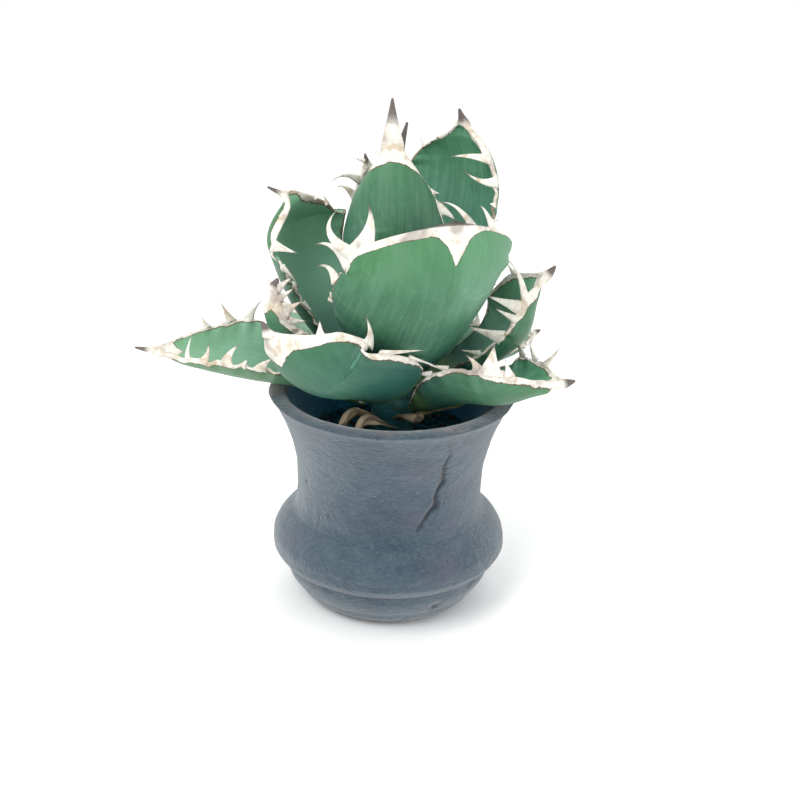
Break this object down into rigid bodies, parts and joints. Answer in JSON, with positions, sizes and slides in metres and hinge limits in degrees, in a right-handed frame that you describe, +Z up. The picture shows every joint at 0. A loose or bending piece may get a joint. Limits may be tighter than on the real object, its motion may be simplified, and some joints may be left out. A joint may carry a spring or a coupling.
{
  "type": "potted agave",
  "caption": "Small spiny agave rosette with pale horny leaf edges, growing in a round waisted clay pot that stands on a flat surface.",
  "frame": {"origin": "centre of the pot's flat underside", "axes": "+Z up along the pot's axis; -Y is the side seen first, with the broad front leaf; +X to its right"},
  "size_m": [0.2052, 0.1673, 0.248],
  "materials": {
    "clay": "matte",
    "potting_mix": "matte",
    "net_plastic": "matte",
    "stem_skin": "matte",
    "living_leaf": "satin",
    "dried_leaf": "matte"
  },
  "bodies": {
    "root": {"pot": "clay", "soil": "potting_mix", "drain_net": "net_plastic", "stem": "stem_skin", "leaf_tall": "living_leaf", "leaf_bud": "living_leaf", "leaf_right_back": "living_leaf", "leaf_left_back": "living_leaf", "leaf_left": "living_leaf", "leaf_front": "living_leaf", "leaf_front_left": "living_leaf", "leaf_right": "living_leaf", "leaf_left_short": "living_leaf", "leaf_left_low": "living_leaf", "leaf_right_low": "living_leaf", "leaf_back_right": "living_leaf", "leaf_back_left": "living_leaf", "leaf_back_right_low": "living_leaf", "leaf_back_left_low": "living_leaf", "leaf_back_low": "living_leaf", "dry_leaf_right": "dried_leaf", "dry_leaf_front": "dried_leaf", "dry_leaf_curl": "dried_leaf", "dry_leaf_stub": "dried_leaf"}
  },
  "joints": []
}
